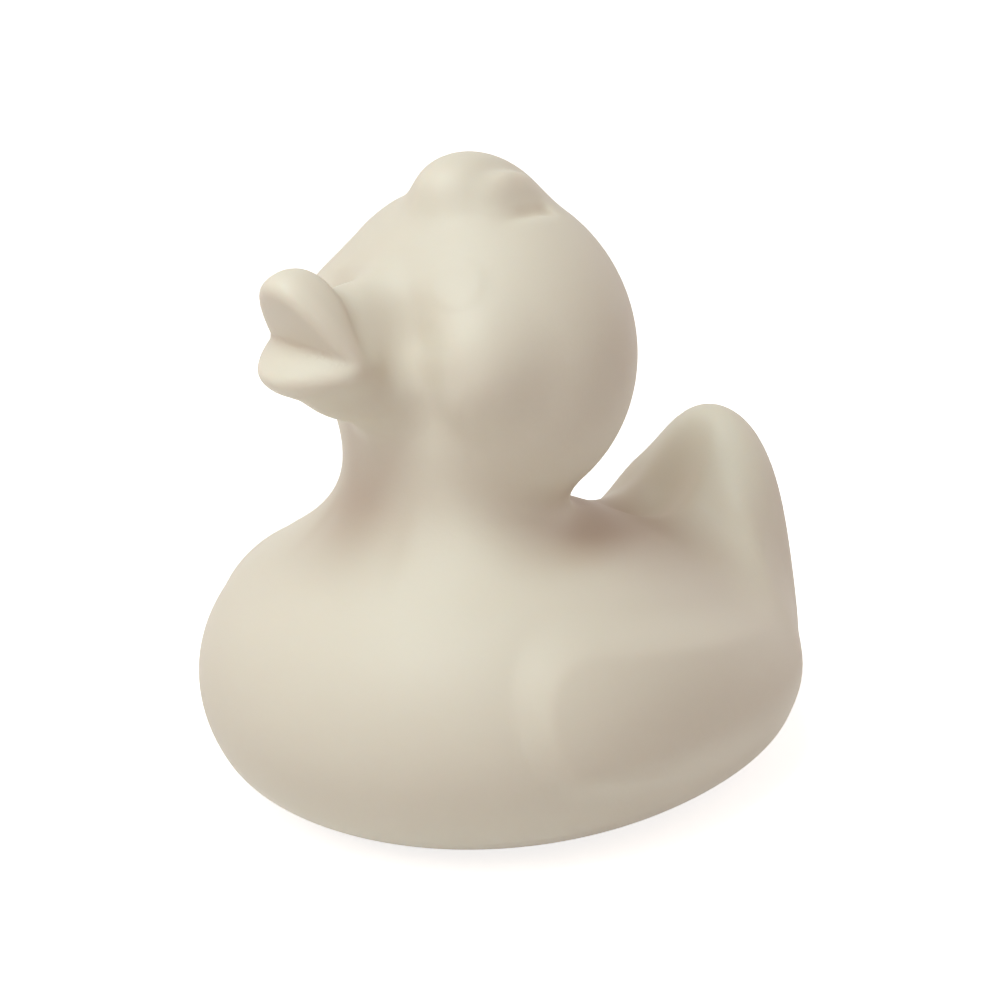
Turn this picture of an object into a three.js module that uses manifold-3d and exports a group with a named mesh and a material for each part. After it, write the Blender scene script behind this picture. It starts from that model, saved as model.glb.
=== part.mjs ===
// Bath duck, moulded in one piece: a hollow vinyl shell with a flat base and a small vent hole in it.
//
// Millimetres. The bill points along -Y, the duck's left is +X and up is +Z. The duck stands on z = 0
// and the finished mesh is centred over the origin.
//
// The outside is sculpted from rounded volumes that flow into each other. Each volume is a function
// of a place that gives the distance to its surface, negative inside, and a blend radius says how
// softly two of them meet. The skin of the sum is then stretched over a grid, and the cavity is the
// same sum, drawn in by the wall.

import * as THREE from "three";
import { mergeVertices } from "three/addons/utils/BufferGeometryUtils.js";
import Module from "manifold-3d";

const wasm = await Module();
wasm.setup();

// Shell and base
const wall = 2.4;
const ventDiameter = 3;
const ventY = 2;
const ventDepth = 4 * wall;
const baseEdge = 3.5;
const baseTrim = 0.25;

// Trunk: a full chest and a lower, narrower rump
const chest = { y: -8.4, z: 17, halfWidth: 34.6, halfLength: 32.3, halfHeight: 23.6 };
const rump = { y: 13, z: 11.4, halfWidth: 28.9, halfLength: 30.8, halfHeight: 18.2 };
const trunkBlend = 14;

// Tail: an upright paddle over the end of the rump, scooped on the side that faces the head
const tail = { inset: 5.6, sink: 0.7, halfWidth: 10.8, halfLength: 6.8, halfHeight: 14.6, pitch: -2 };
const tailBlend = 15.8;
const scoop = { ahead: 12, above: 17.6, halfWidth: 5.2, halfLength: 8, halfHeight: 15, blend: 3.5 };

// Wings: low pads on the flanks, straight on top, that turn up into the sides of the tail
const wing = { relief: 1.5, edge: 2.6, halfHeight: 10.2, frontY: -13.3, frontZ: 21.4, rearZ: 12.2 };
const wingRearInset = 4.2;
const wingTurn = { beforeTail: 9.2, lean: 0.1, blend: 9 };
const wingFade = { low: 7, lowSpan: 9, high: 44, highSpan: 14, side: 5, sideSpan: 6 };
const wingRear = { beforeTail: 7, span: 9 };

// Neck: a short round taper from inside the chest up to the middle of the head
const neck = { footY: -13.2, footZ: 30, footRadius: 11.6, topY: -6.4, topRadius: 10.6 };
const neckHeadBlend = 7;
const neckFrontBlend = 11.6;
const neckBackBlend = 7;
const neckBlendFrontY = -18;
const neckBlendSpan = 20;

// Head: nearly a ball, with a round cheek on each side of the bill
const head = { y: -4.2, z: 60.5, halfWidth: 21.5, halfLength: 19.4, halfHeight: 21.6, pitch: 5.2 };
const cheek = { inset: 9.9, behind: 8.4, above: 2.6, radius: 7.2, blend: 5 };

// Valleys: broad hollows between the bill and the cheeks, each across a line that curls inwards
const valley = { x: 8.6, curl: 0.02, width: 4.6, depth: 1.3 };
const valleyEnds = { low: -9, lowSpan: 6, high: 13, highSpan: 8, behind: 11, behindSpan: 6 };

// Bill: places are measured from the front of the head, +Y back into it, and from its middle height
const muzzle = { y: 0, z: 7.6, halfWidth: 8, halfLength: 10.8, halfHeight: 6 };
const muzzleArch = 0.05;
const muzzleSweep = 0.05;
const upperLip = { y: -9.7, z: 11.6, halfWidth: 7.8, halfLength: 5.6, halfHeight: 4.8 };
const upperLipArch = 0.09;
const upperLipSweep = 0.06;
const upperBlend = 3;
const mouth = { z: 7.4, arch: 0.05, slope: 0.1, frontY: -10.2, edge: 2, blend: 3 };
const jaw = { y: 3.7, z: -1, halfWidth: 9, halfLength: 9.4, halfHeight: 5.1 };
const lowerLip = { y: -8.7, z: 2.9, halfWidth: 7.6, halfLength: 7, halfHeight: 3.7 };
const lowerLipArch = 0.004;
const lowerLipSweep = 0.05;
const lowerBlend = 3.5;
const billBlend = 5;

// Smile: a soft crease from each corner of the mouth up to the cheek
const smile = { x: 10.6, z: 1.4, curl: 0.066, width: 2.6, depth: 0.6 };
const smileEnds = { inner: 6.5, innerSpan: 3, outer: 19, outerSpan: 5, behind: 7.4, behindSpan: 4 };

// Eyes: low round pads in the direction given from the middle of the head
const eye = { right: 10.6, ahead: 13, above: 13.4, radius: 3.4, relief: 0.16, edge: 1.6 };

// Tuft: a lobe on top of the head, with a strand swept back along each side of it, between two grooves
const tuft = { y: -0.8, sink: 2.2, halfWidth: 6.2, halfLength: 10.3, halfHeight: 6.2, pitch: -17 };
const strand = { x: 5, lean: -0.08, relief: 0.9, width: 1.4 };
const strandEnds = { front: -6, frontSpan: 7, back: 6, backSpan: 2.5 };
const strandGroove = { inner: 2.1, innerShare: 0.4, outer: 3 };
const tuftFrontBlend = 4;
const tuftBackBlend = 4;
const tuftBlendFrontY = -8;
const tuftBlendSpan = 10;

// Grid that the skin is stretched over: fine at the bill and the tuft, coarser at the nape and below
const margin = 6;
const fineStep = 1.7;
const billStep = 1.4;
const middleStep = 2.4;
const coarseStep = 3.3;
const cavityStep = 5;
const fineHalfWidth = 13;
const fineBehindFace = 3;
const fineBelowHead = 9;
const nape = { front: 6, back: 18, low: 36 };
const relaxRounds = 3;
const relaxShare = 0.5;
const settleSteps = 4;
const probe = 0.01;
const flattestSlope = 0.1;
const ventSides = 24;

const tailY = rump.y + rump.halfLength - tail.inset;
const tailZ = rump.z + rump.halfHeight - tail.sink;
const faceY = head.y - head.halfLength;
const billY = faceY + upperLip.y - upperLip.halfLength;
const frontY = Math.min(billY, chest.y - chest.halfLength);
const length = { front: frontY - margin, back: tailY + tail.halfLength + margin };
const halfWidth = Math.max(chest.halfWidth, rump.halfWidth) + margin;
const height = head.z + head.halfHeight + tuft.halfHeight + margin;

function smoothMin(a, b, blend) {
  const overlap = Math.max(blend - Math.abs(a - b), 0) / blend;
  return Math.min(a, b) - (overlap * overlap * blend) / 4;
}

function smoothMax(a, b, blend) {
  return -smoothMin(-a, -b, blend);
}

function mix(a, b, share) {
  return a + (b - a) * share;
}

// 0 before start, 1 after start + span, with a soft ramp between them
function ramp(value, start, span) {
  return THREE.MathUtils.smoothstep(value, start, start + span);
}

// Distance to an ellipsoid about 0, 0, 0. Its pitch, in degrees, lifts the front.
function ellipsoid(x, y, z, size) {
  const pitch = THREE.MathUtils.degToRad(size.pitch ?? 0);
  const along = Math.cos(pitch) * y + Math.sin(pitch) * z;
  const above = -Math.sin(pitch) * y + Math.cos(pitch) * z;
  const [a, b, c] = [size.halfWidth, size.halfLength, size.halfHeight];
  const reach = Math.hypot(x / a, along / b, above / c);
  const slope = Math.hypot(x / a ** 2, along / b ** 2, above / c ** 2);
  return (reach * (reach - 1)) / Math.max(slope, Number.EPSILON);
}

// Distance in the side view to the line from a to b
function lineDistance(y, z, a, b) {
  const [dy, dz] = [b.y - a.y, b.z - a.z];
  const share = ((y - a.y) * dy + (z - a.z) * dz) / (dy ** 2 + dz ** 2);
  const on = THREE.MathUtils.clamp(share, 0, 1);
  return Math.hypot(y - a.y - on * dy, z - a.z - on * dz);
}

function trunk(x, y, z) {
  const front = ellipsoid(x, y - chest.y, z - chest.z, chest);
  const back = ellipsoid(x, y - rump.y, z - rump.z, rump);
  return smoothMin(front, back, trunkBlend);
}

function tailPaddle(x, y, z) {
  return ellipsoid(x, y - tailY, z - tailZ, tail);
}

function tailScoop(x, y, z) {
  return ellipsoid(x, y - tailY + scoop.ahead, z - tailZ - scoop.above, scoop);
}

// How far the wing stands out of the flank, from its outline in the side view
function wingRelief(x, y, z) {
  const rear = { y: tailY - wingRearInset, z: wing.rearZ };
  const front = { y: wing.frontY, z: wing.frontZ };
  const pad = lineDistance(y, z, front, rear) - wing.halfHeight;
  const turn = tailY - wingTurn.beforeTail + wingTurn.lean * (z - tailZ) - y;
  const outline = smoothMin(pad, turn, wingTurn.blend);
  const raised = ramp(-outline, -wing.edge / 2, wing.edge);
  const lowEnd = ramp(z, wingFade.low, wingFade.lowSpan);
  const highEnd = 1 - ramp(z, wingFade.high - wingFade.highSpan, wingFade.highSpan);
  const rearEnd = 1 - ramp(y, tailY - wingRear.beforeTail, wingRear.span);
  const side = ramp(Math.abs(x), wingFade.side, wingFade.sideSpan);
  return wing.relief * raised * lowEnd * highEnd * rearEnd * side;
}

function neckTaper(x, y, z) {
  const [dy, dz] = [neck.topY - neck.footY, head.z - neck.footZ];
  const share = ((y - neck.footY) * dy + (z - neck.footZ) * dz) / (dy ** 2 + dz ** 2);
  const on = THREE.MathUtils.clamp(share, 0, 1);
  const away = Math.hypot(x, y - neck.footY - on * dy, z - neck.footZ - on * dz);
  return away - mix(neck.footRadius, neck.topRadius, on);
}

// Bell curve: 1 at 0 and falling off on both sides over its width
function bell(value, width) {
  return Math.exp(-((value / width) ** 2));
}

function valleyDepth(x, y, z) {
  const above = z - head.z;
  const groove = bell(Math.abs(x) - valley.x + valley.curl * above ** 2, valley.width);
  const low = ramp(above, valleyEnds.low, valleyEnds.lowSpan);
  const high = 1 - ramp(above, valleyEnds.high - valleyEnds.highSpan, valleyEnds.highSpan);
  const face = 1 - ramp(y - faceY, valleyEnds.behind - valleyEnds.behindSpan, valleyEnds.behindSpan);
  return valley.depth * groove * low * high * face;
}

function skull(x, y, z) {
  const ball = ellipsoid(x, y - head.y, z - head.z, head);
  const cheekX = head.halfWidth - cheek.inset;
  const cheekY = faceY + cheek.behind;
  const round = Math.hypot(Math.abs(x) - cheekX, y - cheekY, z - head.z - cheek.above) - cheek.radius;
  return smoothMin(ball, round, cheek.blend) + valleyDepth(x, y, z);
}

function upperBill(x, y, z) {
  const [back, up] = [y - faceY, z - head.z];
  const bridgeY = back - muzzle.y - muzzleSweep * x * x;
  const bridge = ellipsoid(x, bridgeY, up + muzzleArch * x * x - muzzle.z, muzzle);
  const lipY = back - upperLip.y - upperLipSweep * x * x;
  const lip = ellipsoid(x, lipY, up + upperLipArch * x * x - upperLip.z, upperLip);
  const mouthZ = mouth.z - mouth.arch * x * x + mouth.slope * (back - mouth.frontY);
  return smoothMin(bridge, smoothMax(lip, mouthZ - up, mouth.edge), upperBlend);
}

function lowerBill(x, y, z) {
  const [back, up] = [y - faceY, z - head.z];
  const chin = ellipsoid(x, back - jaw.y, up - jaw.z, jaw);
  const lipY = back - lowerLip.y - lowerLipSweep * x * x;
  const lip = ellipsoid(x, lipY, up + lowerLipArch * x * x - lowerLip.z, lowerLip);
  return smoothMin(chin, lip, lowerBlend);
}

function smileDepth(x, y, z) {
  const across = Math.abs(x);
  const line = head.z + smile.z + smile.curl * (across - smile.x) ** 2;
  const groove = bell(z - line, smile.width);
  const inner = ramp(across, smileEnds.inner, smileEnds.innerSpan);
  const outer = 1 - ramp(across, smileEnds.outer - smileEnds.outerSpan, smileEnds.outerSpan);
  const face = 1 - ramp(y, faceY + smileEnds.behind - smileEnds.behindSpan, smileEnds.behindSpan);
  return smile.depth * groove * inner * outer * face;
}

function eyeRelief(x, y, z) {
  const place = new THREE.Vector3(Math.abs(x), y - head.y, z - head.z);
  const gaze = new THREE.Vector3(eye.right, -eye.ahead, eye.above).normalize();
  const along = place.dot(gaze);
  const off = Math.sqrt(Math.max(place.lengthSq() - along ** 2, 0));
  return along > 0 ? eye.relief * (1 - ramp(off, eye.radius - eye.edge / 2, eye.edge)) : 0;
}

// How far the strands stand out of the tuft: a ridge across each line, less a groove on each side of it
function strandRelief(x, y, z) {
  const back = y - head.y;
  const off = Math.abs(x) - strand.x - strand.lean * back;
  const inner = strandGroove.innerShare * bell(off + strandGroove.inner, strand.width);
  const wave = bell(off, strand.width) - inner - bell(off - strandGroove.outer, strand.width);
  const front = ramp(back, strandEnds.front, strandEnds.frontSpan);
  const rear = 1 - ramp(back, strandEnds.back - strandEnds.backSpan, strandEnds.backSpan);
  return strand.relief * wave * front * rear * ramp(z - head.z, 0, head.halfHeight / 2);
}

function hairTuft(x, y, z) {
  return ellipsoid(x, y - head.y - tuft.y, z - head.z - head.halfHeight + tuft.sink, tuft);
}

function trunkWithTail(x, y, z) {
  const full = smoothMin(trunk(x, y, z), tailPaddle(x, y, z), tailBlend);
  return smoothMax(full, -tailScoop(x, y, z), scoop.blend);
}

function headWithBill(x, y, z) {
  const onNeck = smoothMin(skull(x, y, z), neckTaper(x, y, z), neckHeadBlend);
  const bill = smoothMin(upperBill(x, y, z), lowerBill(x, y, z), mouth.blend);
  const face = smoothMin(onNeck, bill, billBlend) + smileDepth(x, y, z) - eyeRelief(x, y, z);
  const share = ramp(y - head.y, tuftBlendFrontY, tuftBlendSpan);
  const withTuft = smoothMin(face, hairTuft(x, y, z), mix(tuftFrontBlend, tuftBackBlend, share));
  return withTuft - strandRelief(x, y, z);
}

// The throat flows into the chest in a wide curve, and the nape meets the back in a tight one
function neckBlend(y) {
  return mix(neckFrontBlend, neckBackBlend, ramp(y, neckBlendFrontY, neckBlendSpan));
}

function outside(x, y, z) {
  const body = trunkWithTail(x, y, z) - wingRelief(x, y, z);
  const whole = smoothMin(body, headWithBill(x, y, z), neckBlend(y));
  return smoothMax(whole, -z - baseTrim, baseEdge);
}

// The bill's lips and the tuft fill up when the shell is cast, so the cavity leaves them out
function cavity(x, y, z) {
  const onNeck = smoothMin(skull(x, y, z), neckTaper(x, y, z), neckHeadBlend);
  const whole = smoothMin(trunkWithTail(x, y, z), onNeck, neckBlend(y)) + wall;
  return smoothMax(whole, wall - z, baseEdge);
}

// Grid lines from low to high, step apart, or as far apart as a band says between its ends
function gridLines(low, high, step, bands = []) {
  const lines = [low];
  while (lines.at(-1) < high) {
    const at = lines.at(-1);
    const band = bands.find(({ from, to }) => at >= from && at < to);
    lines.push(at + (band ? band.step : step));
  }
  return lines;
}

// Lines on both sides of the middle plane, which runs through the middle of a cell
function mirroredLines(high, step, bands = []) {
  const first = bands.length > 0 ? bands[0].step : step;
  const right = gridLines(first / 2, high, step, bands);
  return [...right.map((at) => -at).reverse(), ...right];
}

function slopeAt(distance, p) {
  return new THREE.Vector3(
    distance(p.x + probe, p.y, p.z) - distance(p.x - probe, p.y, p.z),
    distance(p.x, p.y + probe, p.z) - distance(p.x, p.y - probe, p.z),
    distance(p.x, p.y, p.z + probe) - distance(p.x, p.y, p.z - probe),
  ).divideScalar(2 * probe);
}

// Moves a place down the slope of the distance until it lies on the surface
function settle(distance, p) {
  for (let step = 0; step < settleSteps; step += 1) {
    const slope = slopeAt(distance, p);
    p.addScaledVector(slope, -distance(p.x, p.y, p.z) / Math.max(slope.lengthSq(), flattestSlope ** 2));
  }
  return p;
}

// Closed skin over the surface where the distance is zero: one point in each grid cell that the
// surface crosses, and one four-sided face round each grid edge that it crosses
function skin(distance, lines) {
  const count = lines.map((axis) => axis.length);
  const stride = [1, count[0], count[0] * count[1]];
  const values = new Float64Array(count[0] * count[1] * count[2]);
  const nodeAt = (node, axis) => Math.floor(node / stride[axis]) % count[axis];
  const placeOf = (node) => new THREE.Vector3(...lines.map((axis, n) => axis[nodeAt(node, n)]));
  for (let node = 0; node < values.length; node += 1) {
    const at = placeOf(node);
    values[node] = distance(at.x, at.y, at.z);
  }
  const crossed = (node, axis) => values[node] < 0 !== values[node + stride[axis]] < 0;
  const corners = [];
  const pointOf = new Map();
  const pointIn = (cell) => {
    if (!pointOf.has(cell)) {
      pointOf.set(cell, corners.length);
      corners.push(settle(distance, middleOfCrossings(cell)));
    }
    return pointOf.get(cell);
  };
  const middleOfCrossings = (cell) => {
    const sum = new THREE.Vector3();
    let found = 0;
    for (const axis of [0, 1, 2]) {
      const [b, c] = [stride[(axis + 1) % 3], stride[(axis + 2) % 3]];
      for (const node of [cell, cell + b, cell + c, cell + b + c]) {
        if (crossed(node, axis)) {
          const [from, to] = [values[node], values[node + stride[axis]]];
          sum.add(placeOf(node).lerp(placeOf(node + stride[axis]), from / (from - to)));
          found += 1;
        }
      }
    }
    return sum.divideScalar(found);
  };
  const faces = [];
  for (let node = 0; node < values.length; node += 1) {
    for (const axis of [0, 1, 2]) {
      if (nodeAt(node, axis) < count[axis] - 1 && crossed(node, axis)) {
        const [b, c] = [stride[(axis + 1) % 3], stride[(axis + 2) % 3]];
        const ring = [node - b - c, node - c, node, node - b].map(pointIn);
        faces.push(...splitFace(corners, values[node] < 0 ? ring : ring.reverse()));
      }
    }
  }
  relax(distance, corners, faces);
  return indexedGeometry(corners.flatMap((p) => p.toArray()), faces);
}

// Evens out the points: each goes part of the way to the middle of its neighbours, then back to the
// surface
function relax(distance, corners, faces) {
  for (let round = 0; round < relaxRounds; round += 1) {
    const sums = corners.map(() => new THREE.Vector3());
    const counts = corners.map(() => 0);
    faces.forEach((corner, n) => {
      const next = faces[n % 3 === 2 ? n - 2 : n + 1];
      sums[corner].add(corners[next]);
      counts[corner] += 1;
    });
    const places = corners.map((p, n) => p.clone().lerp(sums[n].divideScalar(counts[n]), relaxShare));
    places.forEach((place, n) => corners[n].copy(settle(distance, place)));
  }
}

// Two triangles, split along the shorter diagonal
function splitFace(corners, [a, b, c, d]) {
  const first = corners[a].distanceTo(corners[c]) <= corners[b].distanceTo(corners[d]);
  return first ? [a, b, c, a, c, d] : [a, b, d, b, c, d];
}

function indexedGeometry(positions, triangles) {
  const geometry = new THREE.BufferGeometry();
  geometry.setAttribute("position", new THREE.Float32BufferAttribute(positions, 3));
  geometry.setIndex([...triangles]);
  return geometry;
}

function toSolid(geometry) {
  const bare = geometry.clone();
  bare.deleteAttribute("normal");
  bare.deleteAttribute("uv");
  const merged = mergeVertices(bare);
  const vertProperties = Float32Array.from(merged.attributes.position.array);
  const triVerts = Uint32Array.from(merged.index.array);
  return new wasm.Manifold(new wasm.Mesh({ numProp: 3, vertProperties, triVerts }));
}

function toGeometry(solid) {
  const mesh = solid.getMesh();
  const geometry = indexedGeometry(mesh.vertProperties, mesh.triVerts);
  geometry.computeVertexNormals();
  return geometry;
}

function outsideSkin() {
  const middle = [{ from: 0, to: fineHalfWidth, step: fineStep }];
  const bill = { from: length.front, to: faceY + fineBehindFace, step: billStep };
  const napeAlong = { from: nape.front, to: nape.back, step: middleStep };
  const face = { from: head.z - fineBelowHead, to: height, step: fineStep };
  const napeUp = { from: nape.low, to: face.from, step: middleStep };
  const across = mirroredLines(halfWidth, coarseStep, middle);
  const along = gridLines(length.front, length.back, coarseStep, [bill, napeAlong]);
  const up = gridLines(-margin, height, coarseStep, [napeUp, face]);
  return skin(outside, [across, along, up]);
}

function cavitySkin() {
  const across = mirroredLines(halfWidth, cavityStep);
  const along = gridLines(length.front, length.back, cavityStep);
  const up = gridLines(-margin, height, cavityStep);
  return skin(cavity, [across, along, up]);
}

function ventHole() {
  const hole = new THREE.CylinderGeometry(ventDiameter / 2, ventDiameter / 2, ventDepth, ventSides);
  hole.rotateX(Math.PI / 2);
  hole.translate(0, ventY, 0);
  return hole;
}

// Everything under the base plane
function underside() {
  const span = length.back - length.front;
  const block = new THREE.BoxGeometry(2 * halfWidth, span, 2 * margin);
  block.translate(0, (length.back + length.front) / 2, -margin);
  return block;
}

function duckGeometry() {
  const solid = toSolid(outsideSkin())
    .subtract(toSolid(cavitySkin()))
    .subtract(toSolid(ventHole()))
    .subtract(toSolid(underside()));
  return toGeometry(solid);
}

const vinyl = new THREE.MeshStandardMaterial({ color: 0xe3dac8, roughness: 0.62, metalness: 0 });
const duckBody = new THREE.Mesh(duckGeometry(), vinyl);
duckBody.name = "duck_body";

const middle = new THREE.Box3().setFromObject(duckBody).getCenter(new THREE.Vector3());
duckBody.position.set(-middle.x, -middle.y, 0);

const duck = new THREE.Group();
duck.add(duckBody);

export default duck;
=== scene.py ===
"""Bath duck in matte ivory vinyl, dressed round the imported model.

The duck is one hollow moulding, so it is one piece here too. It is sculpted again at a finer step than the
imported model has: rounded volumes flow into each other, each of them a function of a place that gives the
distance to its surface, negative inside, and the skin is stretched over the places where the joined distance
is zero.

Sizes of the duck are in millimetres, and everything that goes to Blender is in metres. The bill points along
-Y, the duck's left is +X and up is +Z. Where a size is a pair, it is the start and the span of a soft step.
"""

import logging
import math
from dataclasses import dataclass, field
from enum import Enum
from typing import Callable

import bpy
import numpy as np
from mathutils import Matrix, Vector


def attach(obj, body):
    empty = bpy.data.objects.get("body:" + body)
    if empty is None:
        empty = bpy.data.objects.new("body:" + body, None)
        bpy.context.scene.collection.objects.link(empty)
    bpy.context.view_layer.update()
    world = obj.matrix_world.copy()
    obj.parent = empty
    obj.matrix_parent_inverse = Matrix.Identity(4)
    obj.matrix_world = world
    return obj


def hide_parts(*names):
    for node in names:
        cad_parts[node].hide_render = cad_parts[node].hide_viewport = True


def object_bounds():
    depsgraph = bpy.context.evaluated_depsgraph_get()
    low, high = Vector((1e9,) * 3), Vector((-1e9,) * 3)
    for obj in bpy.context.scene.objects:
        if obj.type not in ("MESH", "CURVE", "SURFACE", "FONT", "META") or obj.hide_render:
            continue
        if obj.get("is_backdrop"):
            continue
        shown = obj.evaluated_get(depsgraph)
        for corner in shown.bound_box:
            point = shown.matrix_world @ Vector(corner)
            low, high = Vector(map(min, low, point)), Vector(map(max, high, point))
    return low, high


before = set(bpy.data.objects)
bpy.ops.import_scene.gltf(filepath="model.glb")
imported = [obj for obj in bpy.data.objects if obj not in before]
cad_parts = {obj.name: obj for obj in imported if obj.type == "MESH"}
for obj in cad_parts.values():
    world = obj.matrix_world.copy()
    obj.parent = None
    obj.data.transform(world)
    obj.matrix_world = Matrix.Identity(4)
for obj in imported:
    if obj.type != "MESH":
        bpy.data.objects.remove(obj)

LOG = logging.getLogger("duck")
MM = 0.001
NODE = "duck_body"
TINY = 1e-9
CELL_CORNERS = 8
MIX_SHARE, MIX_FIRST, MIX_SECOND, MIX_RESULT = 0, 6, 7, 2
NOISE_MIDDLE = 0.5
MOTTLE_DETAIL = 4
BLOTCH_DETAIL = 3
BLOTCHES_PER_MOTTLE = 4
GRAIN_DETAIL = 3
Distance = Callable[[np.ndarray, np.ndarray, np.ndarray], np.ndarray]
Colour = tuple[float, float, float]


def smooth_min(a: np.ndarray, b: np.ndarray, blend: float | np.ndarray) -> np.ndarray:
    """Joins two volumes.

    Where their distances are closer than blend, a quadratic fillet is taken off the smaller one: the square of
    what is left of blend, over four times blend.

    Args:
        a: distance to the first volume.
        b: distance to the second volume.
        blend: how far apart the distances are where the fillet ends.

    Returns:
        The distance to the joined volume.
    """
    overlap = np.maximum(blend - np.abs(a - b), 0) / blend
    return np.minimum(a, b) - overlap * overlap * blend / 4


def smooth_max(a: np.ndarray, b: np.ndarray, blend: float) -> np.ndarray:
    """Cuts one volume by another, with the same fillet as smooth_min.

    Args:
        a: distance to the volume that is kept.
        b: distance to the outside of the cutter.
        blend: how far apart the distances are where the fillet ends.

    Returns:
        The distance to what is left.
    """
    return -smooth_min(-a, -b, blend)


def ramp(value: np.ndarray, start: float, span: float) -> np.ndarray:
    """A soft step: t squared times (3 - 2 t), where t runs from 0 at start to 1 at start + span.

    Args:
        value: where the step is read.
        start: where the step begins.
        span: how long it takes.

    Returns:
        0 before the step, 1 after it.
    """
    share = np.clip((value - start) / span, 0, 1)
    return share * share * (3 - 2 * share)


def mix(a: float | np.ndarray, b: float | np.ndarray, share: float | np.ndarray) -> float | np.ndarray:
    """a at share 0, b at share 1, and on the straight line between them otherwise."""
    return a + (b - a) * share


@dataclass(frozen=True)
class Lobe:
    """An ellipsoid on the middle plane of the duck, with its middle at y, z."""

    y: float
    z: float
    half_width: float
    half_length: float
    half_height: float
    pitch: float = 0.0

    def distance(self, x: np.ndarray, y: np.ndarray, z: np.ndarray) -> np.ndarray:
        """Distance to the ellipsoid.

        With the place divided by the half sizes once (length k) and twice (length m), the distance is
        k times (k - 1) over m, which is exact on a sphere and close to it near the surface of an ellipsoid.

        Args:
            x: places across.
            y: places along.
            z: places up.

        Returns:
            The distance at each place.
        """
        turn = math.radians(self.pitch)
        back, up = y - self.y, z - self.z
        along = math.cos(turn) * back + math.sin(turn) * up
        above = math.cos(turn) * up - math.sin(turn) * back
        parts = ((x, self.half_width), (along, self.half_length), (above, self.half_height))
        reach = np.sqrt(sum((part / half) ** 2 for part, half in parts))
        slope = np.sqrt(sum((part / half**2) ** 2 for part, half in parts))
        return reach * (reach - 1) / np.maximum(slope, TINY)


@dataclass(frozen=True)
class Trunk:
    """A full chest and a lower, narrower rump, standing on a flat base."""

    chest: Lobe = Lobe(y=-8.4, z=17, half_width=34.6, half_length=32.3, half_height=23.6)
    rump: Lobe = Lobe(y=13, z=11.4, half_width=28.9, half_length=30.8, half_height=18.2)
    blend: float = 14
    base_edge: float = 8
    base_trim: float = 0.25

    def distance(self, x: np.ndarray, y: np.ndarray, z: np.ndarray) -> np.ndarray:
        """Distance to the chest and the rump, joined."""
        return smooth_min(self.chest.distance(x, y, z), self.rump.distance(x, y, z), self.blend)

    def stand(self, whole: np.ndarray, z: np.ndarray) -> np.ndarray:
        """Cuts the duck off just under the base plane, with a round edge.

        Args:
            whole: distance to the duck without a base.
            z: places up.

        Returns:
            The distance to the duck with its base.
        """
        return smooth_max(whole, -z - self.base_trim, self.base_edge)


@dataclass(frozen=True)
class Tail:
    """An upright paddle over the end of the rump, scooped on the side that faces the head."""

    trunk: Trunk
    inset: float = 5.6
    sink: float = 0.7
    half_width: float = 10.8
    half_length: float = 6.8
    half_height: float = 14.6
    pitch: float = -2
    blend: float = 15.8
    scoop_ahead: float = 12.3
    scoop_above: float = 17.3
    scoop_half: tuple[float, float, float] = (5.2, 8, 15)
    scoop_blend: float = 3.5

    @property
    def y(self) -> float:
        """Middle of the paddle, along."""
        return self.trunk.rump.y + self.trunk.rump.half_length - self.inset

    @property
    def z(self) -> float:
        """Middle of the paddle, up."""
        return self.trunk.rump.z + self.trunk.rump.half_height - self.sink

    def paddle(self, x: np.ndarray, y: np.ndarray, z: np.ndarray) -> np.ndarray:
        """Distance to the paddle."""
        lobe = Lobe(self.y, self.z, self.half_width, self.half_length, self.half_height, self.pitch)
        return lobe.distance(x, y, z)

    def scoop(self, x: np.ndarray, y: np.ndarray, z: np.ndarray) -> np.ndarray:
        """Distance to the hollow ahead of the paddle."""
        return Lobe(self.y - self.scoop_ahead, self.z + self.scoop_above, *self.scoop_half).distance(x, y, z)


@dataclass(frozen=True)
class Wing:
    """A low pad on each flank, straight on top, that turns up into the side of the tail."""

    tail: Tail
    relief: float = 1.2
    edge: float = 4.4
    half_height: float = 11.8
    front_y: float = -13
    front_z: float = 21.4
    rear_inset: float = 4.2
    rear_z: float = 12.2
    turn_before_tail: float = 9.2
    turn_lean: float = 0.1
    turn_blend: float = 9
    fade_low: tuple[float, float] = (7, 9)
    fade_high: tuple[float, float] = (30, 14)
    fade_rear: tuple[float, float] = (-7, 9)
    fade_side: tuple[float, float] = (5, 6)

    def height(self, x: np.ndarray, y: np.ndarray, z: np.ndarray) -> np.ndarray:
        """How far the wing stands out of the flank.

        In the side view the pad is everything within half_height of a line from its front to its rear, and it
        flows into a band that leans against the tail. The relief fades out towards the belly, the top, the rear
        and the middle plane.

        Args:
            x: places across.
            y: places along.
            z: places up.

        Returns:
            The height at each place.
        """
        run = self.tail.y - self.rear_inset - self.front_y
        fall = self.rear_z - self.front_z
        share = np.clip(((y - self.front_y) * run + (z - self.front_z) * fall) / (run**2 + fall**2), 0, 1)
        pad = np.hypot(y - self.front_y - share * run, z - self.front_z - share * fall) - self.half_height
        turn = self.tail.y - self.turn_before_tail + self.turn_lean * (z - self.tail.z) - y
        outline = smooth_min(pad, turn, self.turn_blend)
        raised = ramp(-outline, 0, self.edge)
        low = ramp(z, *self.fade_low)
        high = 1 - ramp(z, *self.fade_high)
        rear = 1 - ramp(y, self.tail.y + self.fade_rear[0], self.fade_rear[1])
        return self.relief * raised * low * high * rear * ramp(np.abs(x), *self.fade_side)


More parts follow.
